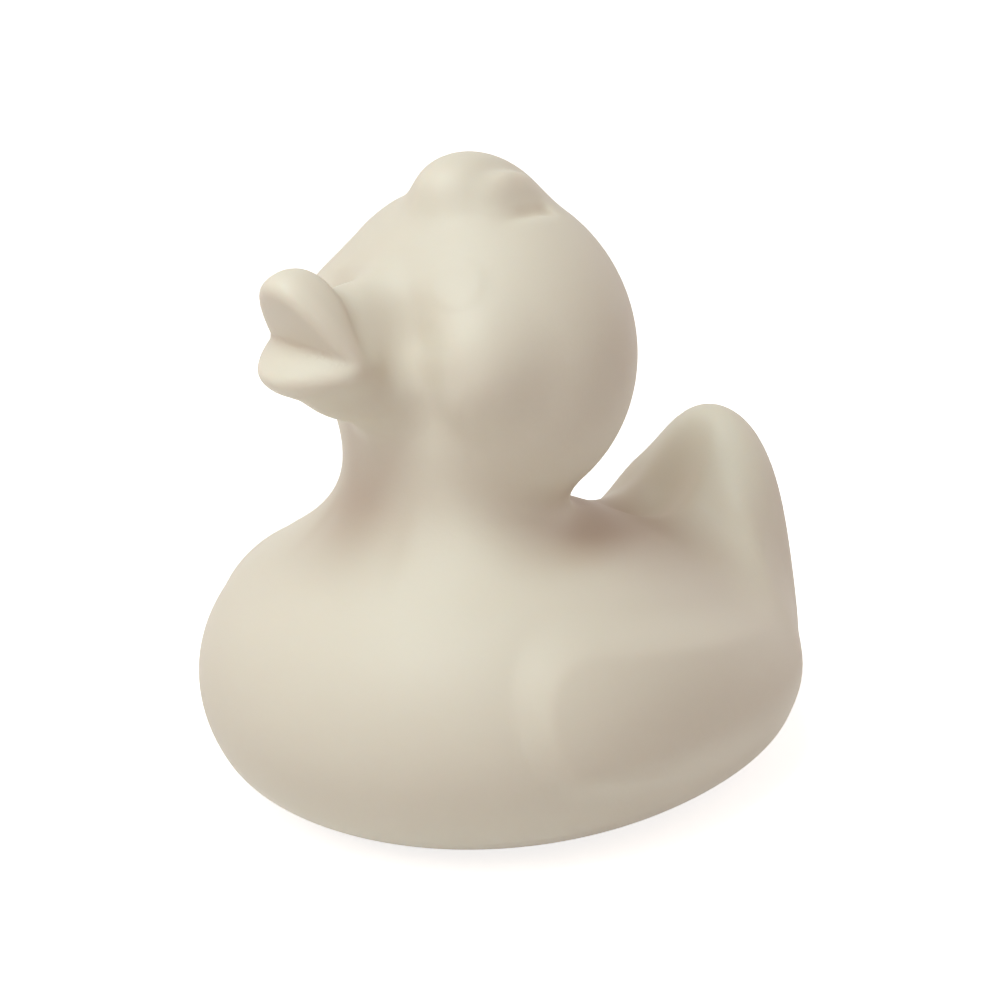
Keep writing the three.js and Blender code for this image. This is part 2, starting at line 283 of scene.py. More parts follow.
@dataclass(frozen=True)
class Head:
    """Nearly a ball, with a round cheek on each side of the bill, on a short neck that tapers upwards."""

    ball: Lobe = Lobe(y=-4.2, z=60.5, half_width=21.5, half_length=19.4, half_height=21.6, pitch=5.2)
    cheek_inset: float = 9.9
    cheek_behind: float = 8.4
    cheek_above: float = 2.6
    cheek_radius: float = 7.2
    cheek_blend: float = 5
    valley_x: float = 8
    valley_curl: float = 0.02
    valley_width: float = 5.6
    valley_depth: float = 1.9
    valley_low: tuple[float, float] = (-17, 15)
    valley_high: tuple[float, float] = (5, 8)
    valley_behind: tuple[float, float] = (5, 6)
    foot_y: float = -13.2
    foot_z: float = 30
    foot_radius: float = 11.6
    top_y: float = -6.4
    top_radius: float = 10.6
    neck_blend: float = 7
    front_blend: float = 11.6
    back_blend: float = 7
    blend_front_y: float = -18
    blend_span: float = 20

    @property
    def face_y(self) -> float:
        """Front of the head."""
        return self.ball.y - self.ball.half_length

    def skull(self, x: np.ndarray, y: np.ndarray, z: np.ndarray) -> np.ndarray:
        """Distance to the ball and its cheeks, which are balls themselves, with the valleys sunk into them.

        Args:
            x: places across.
            y: places along.
            z: places up.

        Returns:
            The distance at each place.
        """
        across = np.abs(x) - self.ball.half_width + self.cheek_inset
        behind, above = y - self.face_y - self.cheek_behind, z - self.ball.z - self.cheek_above
        cheek = np.sqrt(across**2 + behind**2 + above**2) - self.cheek_radius
        return smooth_min(self.ball.distance(x, y, z), cheek, self.cheek_blend) + self.valley(x, y, z)

    def valley(self, x: np.ndarray, y: np.ndarray, z: np.ndarray) -> np.ndarray:
        """Depth of the broad hollow between the bill and each cheek: a bell curve across a line that curls in.

        Args:
            x: places across.
            y: places along.
            z: places up.

        Returns:
            The depth at each place.
        """
        above = z - self.ball.z
        across = np.abs(x) - self.valley_x + self.valley_curl * above**2
        groove = np.exp(-((across / self.valley_width) ** 2))
        ends = ramp(above, *self.valley_low) * (1 - ramp(above, *self.valley_high))
        return self.valley_depth * groove * ends * (1 - ramp(y - self.face_y, *self.valley_behind))

    def neck(self, x: np.ndarray, y: np.ndarray, z: np.ndarray) -> np.ndarray:
        """Distance to the neck, a round taper: the distance to its line from foot to top, less its radius there.

        Args:
            x: places across.
            y: places along.
            z: places up.

        Returns:
            The distance at each place.
        """
        run, rise = self.top_y - self.foot_y, self.ball.z - self.foot_z
        behind, above = y - self.foot_y, z - self.foot_z
        share = np.clip((behind * run + above * rise) / (run**2 + rise**2), 0, 1)
        away = np.sqrt(x**2 + (behind - share * run) ** 2 + (above - share * rise) ** 2)
        return away - mix(self.foot_radius, self.top_radius, share)

    def distance(self, x: np.ndarray, y: np.ndarray, z: np.ndarray) -> np.ndarray:
        """Distance to the head on its neck."""
        return smooth_min(self.skull(x, y, z), self.neck(x, y, z), self.neck_blend)

    def body_blend(self, y: np.ndarray) -> np.ndarray:
        """The throat flows into the chest in a wide curve, and the nape meets the back in a tight one."""
        return mix(self.front_blend, self.back_blend, ramp(y, self.blend_front_y, self.blend_span))


@dataclass(frozen=True)
class Bill:
    """An open bill: a curled upper lip and a lower one, placed from the front of the head and its middle."""

    head: Head
    muzzle: Lobe = Lobe(y=0, z=7.3, half_width=4.7, half_length=10.8, half_height=5.3)
    muzzle_arch: float = 0.05
    muzzle_sweep: float = 0.01
    muzzle_blend: float = 4
    upper: Lobe = Lobe(y=-10.7, z=11.6, half_width=7.4, half_length=5.1, half_height=4.5, pitch=-14)
    upper_arch: float = 0.1
    upper_sweep: float = 0.035
    upper_blend: float = 3
    mouth_y: float = -11
    mouth_z: float = 6.7
    mouth_sweep: float = 0.045
    mouth_arch: float = 0.022
    mouth_rise: float = 63
    mouth_fall: float = 40
    mouth_edge: float = 1.3
    jaw: Lobe = Lobe(y=2.9, z=-1, half_width=6.4, half_length=9.9, half_height=5)
    lower: Lobe = Lobe(y=-8.4, z=3.2, half_width=7.4, half_length=6.7, half_height=3.8)
    lower_sweep: float = 0.025
    lower_blend: float = 6
    lips_blend: float = 4

    def upper_half(self, x: np.ndarray, y: np.ndarray, z: np.ndarray) -> np.ndarray:
        """Distance to the upper half: lip and bridge, arched and swept back by the square of x.

        Args:
            x: places across.
            y: places along.
            z: places up.

        Returns:
            The distance at each place.
        """
        back, up = y - self.head.face_y, z - self.head.ball.z
        bridge = self.muzzle.distance(x, back - self.muzzle_sweep * x * x, up + self.muzzle_arch * x * x)
        lip = self.upper.distance(x, back - self.upper_sweep * x * x, up + self.upper_arch * x * x)
        return smooth_min(bridge, lip, self.upper_blend)

    def lower_half(self, x: np.ndarray, y: np.ndarray, z: np.ndarray) -> np.ndarray:
        """Distance to the lower half: the jaw, and in front of it the lip, swept back by the square of x.

        Args:
            x: places across.
            y: places along.
            z: places up.

        Returns:
            The distance at each place.
        """
        back, up = y - self.head.face_y, z - self.head.ball.z
        lip = self.lower.distance(x, back - self.lower_sweep * x * x, up)
        return smooth_min(self.jaw.distance(x, back, up), lip, self.lower_blend)

    def on_head(self, head: np.ndarray, x: np.ndarray, y: np.ndarray, z: np.ndarray) -> np.ndarray:
        """Distance to the head with the bill on it."""
        both = smooth_min(self.upper_half(x, y, z), self.lower_half(x, y, z), self.lips_blend)
        return smooth_max(smooth_min(head, both, self.muzzle_blend), self.mouth(x, y, z), self.mouth_edge)

    def mouth(self, x: np.ndarray, y: np.ndarray, z: np.ndarray) -> np.ndarray:
        """How far into the mouth a place is: a wedge that opens forwards from a line swept back at both sides.

        Args:
            x: places across.
            y: places along.
            z: places up.

        Returns:
            The depth at each place, less than zero outside the wedge.
        """
        ahead = self.mouth_y + self.mouth_sweep * x * x - (y - self.head.face_y)
        above = z - self.head.ball.z - self.mouth_z + self.mouth_arch * x * x
        rise, fall = math.radians(self.mouth_rise), math.radians(self.mouth_fall)
        under_upper = math.sin(rise) * ahead - math.cos(rise) * above
        over_lower = math.sin(fall) * ahead + math.cos(fall) * above
        return np.minimum(under_upper, over_lower)


@dataclass(frozen=True)
class Face:
    """Soft marks on the head: a crease behind each corner of the mouth, and a round pad for each eye."""

    head: Head
    smile_x: float = 10.6
    smile_z: float = 1.4
    smile_curl: float = 0.066
    smile_width: float = 2.6
    smile_depth: float = 0.25
    smile_inner: tuple[float, float] = (6, 6)
    smile_outer: tuple[float, float] = (14, 5)
    smile_behind: tuple[float, float] = (3.4, 4)
    eye: tuple[float, float, float] = (10.6, -13, 13.4)
    eye_radius: float = 3.4
    eye_relief: float = 0.16
    eye_edge: float = 1.6

    def crease(self, x: np.ndarray, y: np.ndarray, z: np.ndarray) -> np.ndarray:
        """Depth of the smile: a bell curve across a parabola that turns up towards the cheek.

        Args:
            x: places across.
            y: places along.
            z: places up.

        Returns:
            The depth at each place.
        """
        across = np.abs(x)
        line = self.head.ball.z + self.smile_z + self.smile_curl * (across - self.smile_x) ** 2
        groove = np.exp(-(((z - line) / self.smile_width) ** 2))
        ends = ramp(across, *self.smile_inner) * (1 - ramp(across, *self.smile_outer))
        front = 1 - ramp(y, self.head.face_y + self.smile_behind[0], self.smile_behind[1])
        return self.smile_depth * groove * ends * front

    def eyes(self, x: np.ndarray, y: np.ndarray, z: np.ndarray) -> np.ndarray:
        """Height of the eye pads: a flat disc about a line out from the middle of the head.

        Args:
            x: places across.
            y: places along.
            z: places up.

        Returns:
            The height at each place.
        """
        place = np.stack([np.abs(x), y - self.head.ball.y, z - self.head.ball.z])
        gaze = np.array(self.eye) / np.linalg.norm(self.eye)
        along = np.tensordot(gaze, place, 1)
        off = np.sqrt(np.maximum((place**2).sum(0) - along**2, 0))
        disc = 1 - ramp(off, self.eye_radius - self.eye_edge / 2, self.eye_edge)
        return np.where(along > 0, self.eye_relief * disc, 0)


@dataclass(frozen=True)
class Tuft:
    """A lobe on top of the head, with a strand swept back along each side of it, between two grooves."""

    head: Head
    lobe: Lobe = Lobe(y=-0.5, z=-2, half_width=6.2, half_length=8.9, half_height=6, pitch=-18)
    strand_x: float = 5.6
    strand_lean: float = -0.08
    strand_relief: float = 0.7
    strand_width: float = 1.25
    groove_inner: float = 2.1
    inner_share: float = 0.4
    groove_outer: float = 3
    strand_front: tuple[float, float] = (-6, 7)
    strand_back: tuple[float, float] = (3.5, 2.5)
    blend: float = 4

    def strands(self, x: np.ndarray, y: np.ndarray, z: np.ndarray) -> np.ndarray:
        """Height of the strands: a ridge along each line, less a groove on each side of it.

        Args:
            x: places across.
            y: places along.
            z: places up.

        Returns:
            The height at each place.
        """
        back, up = y - self.head.ball.y, z - self.head.ball.z
        off = np.abs(x) - self.strand_x - self.strand_lean * back
        lines = ((1, off), (-self.inner_share, off + self.groove_inner), (-1, off - self.groove_outer))
        wave = sum(sign * np.exp(-((away / self.strand_width) ** 2)) for sign, away in lines)
        ends = ramp(back, *self.strand_front) * (1 - ramp(back, *self.strand_back))
        return self.strand_relief * wave * ends * ramp(up, 0, self.head.ball.half_height / 2)

    def on_head(self, face: np.ndarray, x: np.ndarray, y: np.ndarray, z: np.ndarray) -> np.ndarray:
        """Distance to the head with the tuft on it, which is placed from the top of the head."""
        back, up = y - self.head.ball.y, z - self.head.ball.z - self.head.ball.half_height
        return smooth_min(face, self.lobe.distance(x, back, up), self.blend) - self.strands(x, y, z)


@dataclass(frozen=True)
class Bands:
    """Grid lines along one axis: step apart, or as far apart as a band says between its ends."""

    low: float
    high: float
    step: float
    bands: tuple[tuple[float, float, float], ...] = ()

    def lines(self) -> np.ndarray:
        """The lines, from low to high. Each stretch is an evenly spaced run of its own."""
        stops = [self.low, *(end for band in self.bands for end in band[:2]), self.high]
        steps = [step for band in self.bands for step in (self.step, band[2])] + [self.step]
        runs = [
            np.linspace(start, end, max(round((end - start) / step), 1), endpoint=False)
            for start, end, step in zip(stops, stops[1:], steps)
            if end > start
        ]
        return np.concatenate([*runs, [self.high]])


@dataclass
class Skin:
    """Closed four-sided mesh over the surface where a distance is zero.

    The form is a join of volumes that no grid of two parameters can follow, so the surface is found on a grid
    in space, in whole arrays: each cell that it crosses gets one point, at the middle of its crossings, and each
    crossed edge of the grid gets one face round it. The points then go down the slope of the distance until they
    lie on the surface, and are evened out between their neighbours.
    """

    distance: Distance
    lines: tuple[np.ndarray, np.ndarray, np.ndarray]
    rounds: int = 3
    share: float = 0.5
    steps: int = 3
    probe: float = 0.01
    flattest: float = 0.1
    points: np.ndarray = field(init=False)
    faces: np.ndarray = field(init=False)

    def build(self) -> "Skin":
        """Finds the points and the faces.

        Returns:
            The skin itself.
        """
        values = self.distance(*np.meshgrid(*self.lines, indexing="ij"))
        inside = values < 0
        corners = sum(
            inside[i : i - 1 or None, j : j - 1 or None, k : k - 1 or None].astype(np.int8)
            for i in (0, 1) for j in (0, 1) for k in (0, 1)
        )
        cells = np.argwhere((corners > 0) & (corners < CELL_CORNERS))
        number = np.full(corners.shape, -1)
        number[tuple(cells.T)] = np.arange(len(cells))
        self.points = self.settle(self.middles(values, cells))
        self.faces = self.rings(values, number)
        for _ in range(self.rounds):
            self.relax()
        return self

    def middles(self, values: np.ndarray, cells: np.ndarray) -> np.ndarray:
        """The middle of the places where the surface crosses the edges of each cell.

        Args:
            values: distance at each grid point.
            cells: the lowest corner of each crossed cell.

        Returns:
            One place for each cell.
        """
        total, found = np.zeros((len(cells), 3)), np.zeros((len(cells), 1))
        for axis in range(3):
            step = np.eye(3, dtype=int)[axis]
            sides = [np.roll(np.array([0, b, c]), axis) for b in (0, 1) for c in (0, 1)]
            for side in sides:
                start = cells + side
                low, high = values[tuple(start.T)], values[tuple((start + step).T)]
                crossed = (low < 0) != (high < 0)
                share = np.where(crossed, low / np.where(crossed, low - high, 1), 0)[:, None]
                place = mix(self.places(start), self.places(start + step), share)
                total += place * crossed[:, None]
                found += crossed[:, None]
        return total / found

    def places(self, nodes: np.ndarray) -> np.ndarray:
        """The places of grid points, given by their numbers along each axis."""
        return np.stack([line[nodes[:, axis]] for axis, line in enumerate(self.lines)], axis=1)

    def rings(self, values: np.ndarray, number: np.ndarray) -> np.ndarray:
        """Four-sided faces round the crossed edges of the grid, with their outer sides out.

        Args:
            values: distance at each grid point.
            number: the point of each cell, or -1.

        Returns:
            Four point numbers for each face.
        """
        faces = []
        for axis in range(3):
            step = np.eye(3, dtype=int)[axis]
            b, c = np.eye(3, dtype=int)[(axis + 1) % 3], np.eye(3, dtype=int)[(axis + 2) % 3]
            size = np.array(values.shape) - step
            low = values[: size[0], : size[1], : size[2]]
            high = values[step[0] :, step[1] :, step[2] :]
            nodes = np.argwhere((low < 0) != (high < 0))
            ring = [number[tuple((nodes - away).T)] for away in (b + c, c, 0 * b, b)]
            face = np.stack(ring, axis=1)
            leaving = low[tuple(nodes.T)] < 0
            faces.append(np.where(leaving[:, None], face, face[:, ::-1]))
        return np.concatenate(faces)

    def settle(self, places: np.ndarray) -> np.ndarray:
        """Moves places down the slope by their distance over its steepness, a few times, on to the surface.

        Args:
            places: the places to move.

        Returns:
            The places on the surface.
        """
        for _ in range(self.steps):
            slope = self.slope(places)
            steepness = np.maximum((slope**2).sum(1), self.flattest**2)
            places = places - slope * (self.distance(*places.T) / steepness)[:, None]
        return places

    def slope(self, places: np.ndarray) -> np.ndarray:
        """How fast the distance changes along each axis: its difference between two probes, over their gap."""
        probes = np.eye(3) * self.probe
        ahead = [self.distance(*(places + probe).T) - self.distance(*(places - probe).T) for probe in probes]
        return np.stack(ahead, axis=1) / (2 * self.probe)

    def relax(self) -> None:
        """Moves each point part of the way to the middle of its neighbours, and back to the surface."""
        corner, beside = self.faces.ravel(), np.roll(self.faces, -1, axis=1).ravel()
        count = np.bincount(corner, minlength=len(self.points))[:, None]
        sums = [np.bincount(corner, self.points[beside, axis], len(self.points)) for axis in range(3)]
        self.points = self.settle(mix(self.points, np.stack(sums, axis=1) / count, self.share))


class Mask(Enum):
    """Values stored at each point of the skin, from 0 to 1, for the material to read."""

    # painted shade: how far the colour is drawn to the shade colour, in creases and sheltered places
    PAINTED_SHADE = "hollow"
    RAISED = "raised"


@dataclass
class Duck:
    """The whole duck: a hollow moulding with a flat base and a small vent hole in it."""

    wall: float = 2.4
    vent_diameter: float = 3
    vent_y: float = 2
    vent_edge: float = 0.5
    trunk: Trunk = Trunk()
    tail: Tail = Tail(Trunk())
    wing: Wing = Wing(Tail(Trunk()))
    head: Head = Head()
    bill: Bill = Bill(Head())
    face: Face = Face(Head())
    tuft: Tuft = Tuft(Head())
    fine: float = 0.62
    coarse: float = 0.95
    margin: float = 3
    reach: float = 1.6
    turn: tuple[float, float] = (0.15, 0.5)
    turn_share: float = 0.6
    # shelter and sheltered set the painted shade of places under the head that other parts hide from the light
    shelter: float = 16
    sheltered: tuple[float, float] = (0.3, 0.65)
    sheltered_below: tuple[float, float] = (-20, 8)
    fine_across: float = 14
    fine_bill: float = 16
    fine_face: float = 6
    fine_under: float = 16

    def body(self, x: np.ndarray, y: np.ndarray, z: np.ndarray) -> np.ndarray:
        """Distance to the trunk with its tail, scooped out."""
        full = smooth_min(self.trunk.distance(x, y, z), self.tail.paddle(x, y, z), self.tail.blend)
        return smooth_max(full, -self.tail.scoop(x, y, z), self.tail.scoop_blend)

    def outside(self, x: np.ndarray, y: np.ndarray, z: np.ndarray) -> np.ndarray:
        """Distance to the outer surface."""
        body = self.body(x, y, z) - self.wing.height(x, y, z)
        face = self.bill.on_head(self.head.distance(x, y, z), x, y, z)
        face = face + self.face.crease(x, y, z) - self.face.eyes(x, y, z)
        head = self.tuft.on_head(face, x, y, z)
        return self.trunk.stand(smooth_min(body, head, self.head.body_blend(y)), z)

    def cavity(self, x: np.ndarray, y: np.ndarray, z: np.ndarray) -> np.ndarray:
        """Distance to the cavity: the plain volumes, drawn in by the wall. Lips and tuft are solid."""
        whole = smooth_min(self.body(x, y, z), self.head.distance(x, y, z), self.head.body_blend(y))
        return smooth_max(whole + self.wall, self.wall - z, self.trunk.base_edge)

    def vent(self, x: np.ndarray, y: np.ndarray, z: np.ndarray) -> np.ndarray:
        """Distance to the round vent hole, which ends inside the cavity."""
        round_hole = np.hypot(x, y - self.vent_y) - self.vent_diameter / 2
        return np.maximum(round_hole, z - 2 * self.wall)

    def distance(self, x: np.ndarray, y: np.ndarray, z: np.ndarray) -> np.ndarray:
        """Distance to the shell: the outside, less the cavity and the vent."""
        hollow = np.minimum(self.cavity(x, y, z), self.vent(x, y, z))
        return smooth_max(self.outside(x, y, z), -hollow, self.vent_edge)

    def masks(self, places: np.ndarray) -> dict[Mask, np.ndarray]:
        """How hollow and how raised the skin is: the hollow mask is where shade is painted into the colour.

        The skin's turn is the sum of the distances at six probes round a place, less six times the distance
        there, over the square of their reach. It is positive where the skin is raised. Below the head, a place
        is hollow too where the distance a longer way straight out falls short of that way.

        Args:
            places: points of the skin.

        Returns:
            A value from 0 to 1 at each point, for each mask.
        """
        around = np.concatenate([np.eye(3), -np.eye(3)]) * self.reach
        probes = np.stack([self.outside(*(places + probe).T) for probe in around])
        turn = (probes.sum(0) - len(around) * self.outside(*places.T)) / self.reach**2
        slope = (probes[:3] - probes[3:]).T
        slope /= np.maximum(np.linalg.norm(slope, axis=1, keepdims=True), TINY)
        clear = self.outside(*(places + self.shelter * slope).T) / self.shelter
        below = 1 - ramp(places[:, 2] - self.head.ball.z, *self.sheltered_below)
        turned = self.turn_share * ramp(-turn, *self.turn)
        # painted shade: creases, and places under the head that the head and tail shelter from the light
        hollow = np.maximum(turned, below * ramp(1 - clear, *self.sheltered))
        return {Mask.PAINTED_SHADE: hollow, Mask.RAISED: ramp(turn, *self.turn)}

    def grid(self) -> tuple[np.ndarray, np.ndarray, np.ndarray]:
        """Grid lines along each axis: fine at the bill and over the head, coarser elsewhere.

        Returns:
            The lines across, along and up.
        """
        trunk, ball = self.trunk, self.head.ball
        half = trunk.chest.half_width + self.margin
        face = self.head.face_y
        front = min(face - self.fine_bill, trunk.chest.y - trunk.chest.half_length) - self.margin
        rear = self.tail.y + self.tail.half_length + self.margin
        top = ball.z + ball.half_height + self.tuft.lobe.half_height + self.margin
        across = Bands(-half, half, self.coarse, ((-self.fine_across, self.fine_across, self.fine),))
        along = Bands(front, rear, self.coarse, ((front, face + self.fine_face, self.fine),))
        up = Bands(-self.margin, top, self.coarse, ((ball.z - self.fine_under, top, self.fine),))
        return across.lines(), along.lines(), up.lines()

    def build(self, low: Vector, high: Vector, finish: "Vinyl") -> bpy.types.Object:
        """Makes the duck's object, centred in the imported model's box and kept inside it.

        Args:
            low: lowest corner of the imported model's box, in metres.
            high: its highest corner.
            finish: the duck's material.

        Returns:
            The duck, riding on the model's body.
        """
        skin = Skin(self.distance, self.grid()).build()
        places = skin.points * MM
        middle = (places.min(0) + places.max(0)) / 2
        places[:, :2] += (np.array(low + high) / 2 - middle)[:2]
        places = np.clip(places, np.array(low), np.array(high))
        duck = add_mesh("duck", places, skin.faces)
        for mask, values in self.masks(skin.points).items():
            stored = duck.data.attributes.new(mask.value, "FLOAT", "POINT")
            stored.data.foreach_set("value", values.astype(np.float32))
        duck.data.materials.append(finish.material())
        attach(duck, "root")
        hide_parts(NODE)
        return duck


def add_mesh(name: str, places: np.ndarray, faces: np.ndarray) -> bpy.types.Object:
    """Puts a smooth four-sided mesh into the scene.

    Args:
        name: the object's name.
        places: one row of x, y, z for each point, in metres.
        faces: four point numbers for each face.

    Returns:
        The object, at the origin.
    """
    mesh = bpy.data.meshes.new(name)
    mesh.vertices.add(len(places))
    mesh.vertices.foreach_set("co", places.astype(np.float32).ravel())
    mesh.loops.add(faces.size)
    mesh.loops.foreach_set("vertex_index", faces.astype(np.int32).ravel())
    mesh.polygons.add(len(faces))
    mesh.polygons.foreach_set("loop_start", np.arange(0, faces.size, faces.shape[1], dtype=np.int32))
    mesh.polygons.foreach_set("use_smooth", np.ones(len(faces), bool))
    mesh.update(calc_edges=True)
    mesh.validate()
    piece = bpy.data.objects.new(name, mesh)
    bpy.context.scene.collection.objects.link(piece)
    return piece


@dataclass(frozen=True)
class Vinyl:
    """Soft matte vinyl, faintly mottled, with a fine mould grain.

    Shade is painted into its colour: it goes browner in creases and in sheltered places under the head,
    where shade falls. It is lighter and smoother on crests.
    """

    colour: Colour = (0.75, 0.685, 0.58)
    # painted shade: creases and sheltered places are drawn to this browner colour, by the crease share
    painted_shade_colour: Colour = (0.6, 0.5, 0.385)
    crease: float = 0.95
    crest: float = 0.06
    mottle: float = 0.035
    mottle_scale: float = 55
    roughness: float = 0.56
    roughness_range: float = 0.07
    grain_scale: float = 1500
    grain_height: float = 0.00006
    grain_strength: float = 0.25
    subsurface: float = 0.12
    subsurface_depth: float = 0.0025
    subsurface_colours: Colour = (1, 0.6, 0.35)

    def material(self) -> bpy.types.Material:
        """Builds the material.

        Returns:
            A Principled material whose colour, roughness and height come from the surface group.
        """
        made = bpy.data.materials.new("matte_vinyl")
        made.use_nodes = True
        tree = made.node_tree
        shader = tree.nodes["Principled BSDF"]
        surface = tree.nodes.new("ShaderNodeGroup")
        surface.node_tree = surface_group()
        values = {
            "Colour": (*self.colour, 1),
            "Painted Shade Colour": (*self.painted_shade_colour, 1),
            "Crease": self.crease,
            "Crest": self.crest,
            "Mottle": self.mottle,
            "Mottle Scale": self.mottle_scale,
            "Roughness": self.roughness,
            "Roughness Range": self.roughness_range,
            "Grain Scale": self.grain_scale,
        }
        for name, value in values.items():
            surface.inputs[name].default_value = value
        bump = tree.nodes.new("ShaderNodeBump")
        bump.inputs["Strength"].default_value = self.grain_strength
        bump.inputs["Distance"].default_value = self.grain_height
        tree.links.new(surface.outputs["Height"], bump.inputs["Height"])
        tree.links.new(surface.outputs["Colour"], shader.inputs["Base Color"])
        tree.links.new(surface.outputs["Roughness"], shader.inputs["Roughness"])
        tree.links.new(bump.outputs["Normal"], shader.inputs["Normal"])
        shader.inputs["Subsurface Weight"].default_value = self.subsurface
        shader.inputs["Subsurface Radius"].default_value = self.subsurface_colours
        shader.inputs["Subsurface Scale"].default_value = self.subsurface_depth
        return made


def surface_group() -> bpy.types.NodeTree:
    """Node group for a moulded surface.

    Returns:
        A group that puts out a colour, a roughness and the height of the grain. A soft noise mottles the
        colour, the hollow mask paints shade into it by drawing it to the painted shade colour in creases and
        sheltered places, and the raised mask lightens and smooths it.
    """
    group = bpy.data.node_groups.new("moulded_surface", "ShaderNodeTree")
    # Crease is the share of painted shade in creases and sheltered places
    numbers = ("Crease", "Crest", "Mottle", "Mottle Scale", "Roughness", "Roughness Range", "Grain Scale")
    sockets = (
        ("INPUT", "NodeSocketColor", ("Colour", "Painted Shade Colour")),
        ("INPUT", "NodeSocketFloat", numbers),
        ("OUTPUT", "NodeSocketColor", ("Colour",)),
        ("OUTPUT", "NodeSocketFloat", ("Roughness", "Height")),
    )
    for side, kind, names in sockets:
        for name in names:
            group.interface.new_socket(name, in_out=side, socket_type=kind)
    given = group.nodes.new("NodeGroupInput").outputs
    out = group.nodes.new("NodeGroupOutput").inputs
    masks = {}
    for mask in Mask:
        stored = group.nodes.new("ShaderNodeAttribute")
        stored.attribute_name = mask.value
        masks[mask] = stored.outputs["Fac"]
    mottle = calculate(group, "SUBTRACT", noise(group, given["Mottle Scale"], MOTTLE_DETAIL), NOISE_MIDDLE)
    shade = calculate(group, "MULTIPLY_ADD", mottle, given["Mottle"], 1)
    crest = calculate(group, "MULTIPLY", masks[Mask.RAISED], given["Crest"])
    # painted shade: the hollow mask draws the colour to the shade colour
    crease = calculate(group, "MULTIPLY", masks[Mask.PAINTED_SHADE], given["Crease"])
    lit = group.nodes.new("ShaderNodeVectorMath")
    lit.operation = "SCALE"
    group.links.new(mix_colours(group, crease, given["Colour"], given["Painted Shade Colour"]), lit.inputs[0])
    group.links.new(calculate(group, "ADD", shade, crest), lit.inputs["Scale"])
    group.links.new(lit.outputs["Vector"], out["Colour"])
    blotch_scale = calculate(group, "MULTIPLY", given["Mottle Scale"], BLOTCHES_PER_MOTTLE)
    blotch = calculate(group, "SUBTRACT", noise(group, blotch_scale, BLOTCH_DETAIL), NOISE_MIDDLE)
    spread = calculate(group, "MULTIPLY", blotch, given["Roughness Range"])
    rough = calculate(group, "ADD", given["Roughness"], spread)
    group.links.new(calculate(group, "SUBTRACT", rough, crest), out["Roughness"])
    group.links.new(noise(group, given["Grain Scale"], GRAIN_DETAIL), out["Height"])
    return group


def noise(group: bpy.types.NodeTree, scale: bpy.types.NodeSocket, detail: float) -> bpy.types.NodeSocket:
    """Noise over the object's own coordinates.

    Args:
        group: the tree that gets the nodes.
        scale: how many features there are in a metre.
        detail: how many finer layers lie on the first one.

    Returns:
        The socket with the noise, about 0.5.
    """
    place = group.nodes.new("ShaderNodeTexCoord")
    made = group.nodes.new("ShaderNodeTexNoise")
    made.inputs["Detail"].default_value = detail
    group.links.new(place.outputs["Object"], made.inputs["Vector"])
    group.links.new(scale, made.inputs["Scale"])
    return made.outputs["Fac"]


def feed(
    tree: bpy.types.NodeTree, entry: bpy.types.NodeSocket, value: bpy.types.NodeSocket | float | Colour
) -> None:
    """Gives a node's input its value.

    Args:
        tree: the node's tree.
        entry: the input.
        value: a socket that is linked to it, a number, or a colour that is set with full alpha.
    """
    if isinstance(value, bpy.types.NodeSocket):
        tree.links.new(value, entry)
    else:
        entry.default_value = (*value, 1) if isinstance(value, tuple) else value


def calculate(
    tree: bpy.types.NodeTree, operation: str, *values: bpy.types.NodeSocket | float
) -> bpy.types.NodeSocket:
    """One math node.

    Args:
        tree: the tree that gets the node.
        operation: what it does.
        values: its inputs, as sockets or numbers.

    Returns:
        The socket with the result.
    """
    node = tree.nodes.new("ShaderNodeMath")
    node.operation = operation
    for value, entry in zip(values, node.inputs):
        feed(tree, entry, value)
    return node.outputs[0]


def mix_colours(
    tree: bpy.types.NodeTree,
    share: bpy.types.NodeSocket,
    first: bpy.types.NodeSocket | Colour,
    second: bpy.types.NodeSocket | Colour,
) -> bpy.types.NodeSocket:
    """One node that goes from a first colour to a second.

    Args:
        tree: the tree that gets the node.
        share: 0 for the first colour, 1 for the second.
        first: a socket or a colour.
        second: a socket or a colour.

    Returns:
        The socket with the mixed colour.
    """
    node = tree.nodes.new("ShaderNodeMix")
    node.data_type = "RGBA"
    for index, value in ((MIX_SHARE, share), (MIX_FIRST, first), (MIX_SECOND, second)):
        feed(tree, node.inputs[index], value)
    return node.outputs[MIX_RESULT]


@dataclass(frozen=True)
class Lamp:
    """A soft square lamp, placed by its azimuth, elevation and distance from a point."""

    name: str
    azimuth: float
    elevation: float
    distance: float
    size: float
    power: float
    colour: Colour = (1, 1, 1)

    def add(self, target: Vector) -> bpy.types.Object:
        """Adds the lamp, aimed at a point.

        Args:
            target: the point.

        Returns:
            The lamp.
        """
        light = bpy.data.lights.new(self.name, "AREA")
        light.size, light.energy, light.color = self.size, self.power, self.colour
        lamp = bpy.data.objects.new(self.name, light)
        out = direction(self.azimuth, self.elevation)
        lamp.location = target + out * self.distance
        lamp.rotation_euler = out.to_track_quat("Z", "Y").to_euler()
        bpy.context.scene.collection.objects.link(lamp)
        return lamp


def direction(azimuth: float, elevation: float) -> Vector:
    """The way from the object to a viewer or a lamp.

    Args:
        azimuth: 0 is -Y and 90 is +X, in degrees.
        elevation: degrees above the horizon.

    Returns:
        A vector of length 1.
    """
    turn, rise = math.radians(azimuth), math.radians(elevation)
    return Vector((math.sin(turn) * math.cos(rise), -math.cos(turn) * math.cos(rise), math.sin(rise)))


